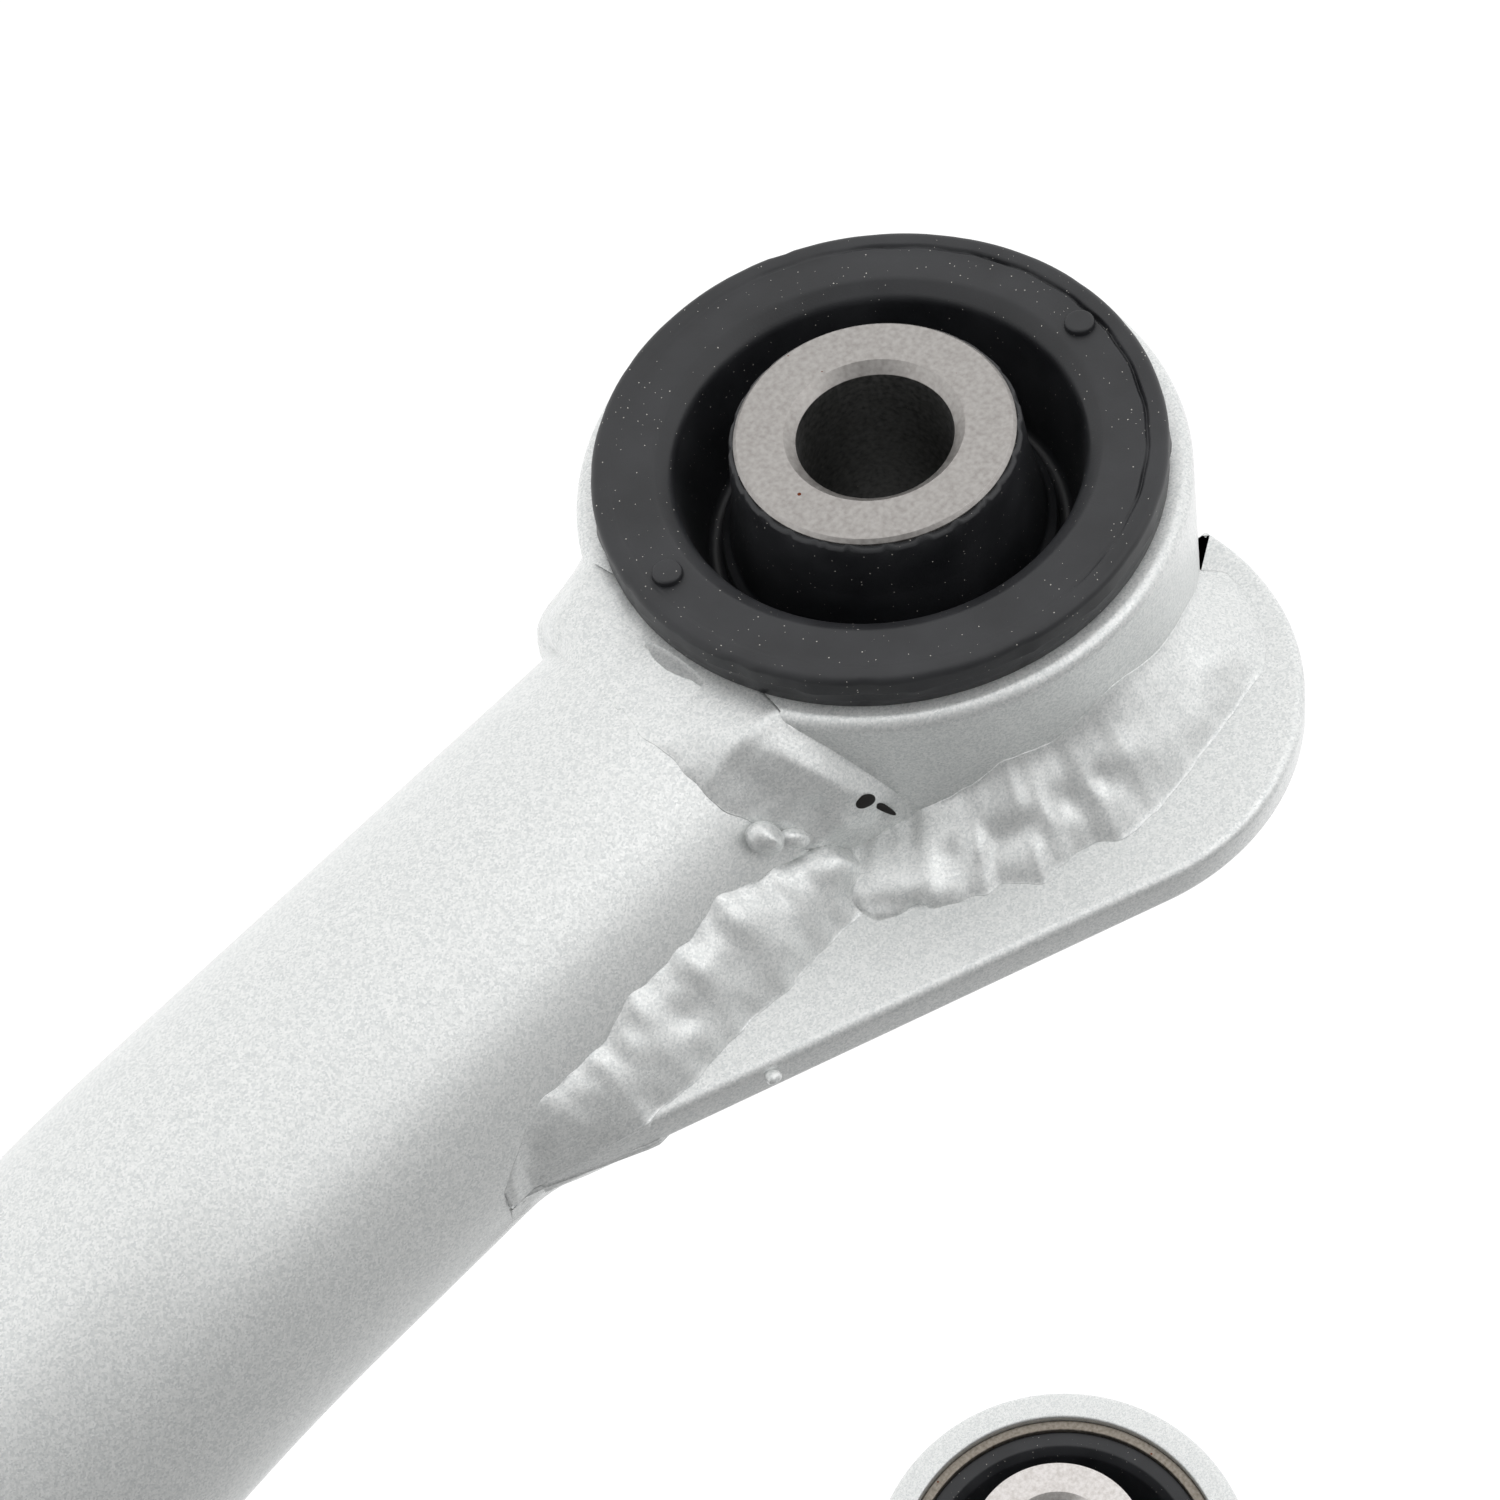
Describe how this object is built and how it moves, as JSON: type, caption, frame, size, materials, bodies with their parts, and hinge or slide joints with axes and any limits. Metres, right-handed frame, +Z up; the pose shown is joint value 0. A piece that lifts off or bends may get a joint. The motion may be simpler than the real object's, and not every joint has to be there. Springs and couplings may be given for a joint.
{
  "type": "suspension control arm",
  "caption": "Welded tubular wishbone control arm with rubber pivot bushes on one axis and a booted ball joint at its outer end.",
  "frame": {"origin": "half way between the two bushes, on the pivot axis", "axes": "+Y along the pivot axis from the front bush to the rear bush, +X outboard to the ball joint, +Z up along the ball stud"},
  "size_m": [0.2885, 0.3002, 0.102],
  "materials": {
    "silver_paint": "metallic silver paint over welded steel, fine flake",
    "bush_rubber": "moulded natural rubber, satin, slightly dusty",
    "boot_rubber": "moulded chloroprene, satin",
    "turned_steel": "turned mild steel with a light grain",
    "bare_steel": "pressed steel, phosphated dark",
    "forged_steel": "machined and phosphated forging",
    "zinc_steel": "bright zinc plate",
    "spring_steel": "blued spring steel",
    "seat_plastic": "moulded acetal"
  },
  "bodies": {
    "arm": {"arm_tube": "silver_paint", "front_eye": "silver_paint", "rear_eye": "silver_paint", "front_gusset": "silver_paint", "rear_gusset": "silver_paint", "front_eye_weld": "silver_paint", "rear_eye_weld": "silver_paint", "front_gusset_welds": "silver_paint", "rear_gusset_welds": "silver_paint", "ball_joint_cup": "silver_paint", "front_apex_gusset": "silver_paint", "rear_apex_gusset": "silver_paint", "cup_weld": "silver_paint", "front_apex_welds": "silver_paint", "rear_apex_welds": "silver_paint", "front_bush_shell": "bare_steel", "rear_bush_shell": "bare_steel", "front_bush_rubber": "bush_rubber", "rear_bush_rubber": "bush_rubber", "ball_joint_housing": "forged_steel", "bearing_seat": "seat_plastic", "cover_plate": "zinc_steel", "preload_spring": "spring_steel", "grease_nipple": "zinc_steel", "snap_ring": "spring_steel", "boot_clamp_ring": "spring_steel"},
    "front_sleeve": {"front_inner_sleeve": "turned_steel"},
    "rear_sleeve": {"rear_inner_sleeve": "turned_steel"},
    "boot": {"dust_boot": "boot_rubber"},
    "boot_ring": {"boot_neck_ring": "spring_steel"},
    "stud": {"ball_stud": "forged_steel", "castle_nut": "zinc_steel", "cotter_pin": "zinc_steel"}
  },
  "joints": [
    {"name": "front_bush_twist", "type": "hinge", "parent": "arm", "child": "front_sleeve", "pos_m": [0, -0.127, 0], "axis": [0, 1, 0], "range_deg": [-22, 22], "stiffness_Nm_per_rad": 40},
    {"name": "rear_bush_twist", "type": "hinge", "parent": "arm", "child": "rear_sleeve", "pos_m": [0, 0.127, 0], "axis": [0, 1, 0], "range_deg": [-22, 22], "stiffness_Nm_per_rad": 40},
    {"name": "stud_swing", "type": "hinge", "parent": "arm", "child": "boot", "pos_m": [0.232, 0, 0], "axis": [0, 1, 0], "range_deg": [-20, 20], "deforming": ["dust_boot"]},
    {"name": "stud_rock", "type": "hinge", "parent": "boot", "child": "boot_ring", "pos_m": [0.232, 0, 0], "axis": [1, 0, 0], "range_deg": [-12, 12]},
    {"name": "stud_spin", "type": "hinge", "parent": "boot_ring", "child": "stud", "pos_m": [0.232, 0, 0], "axis": [0, 0, 1], "continuous": true}
  ]
}
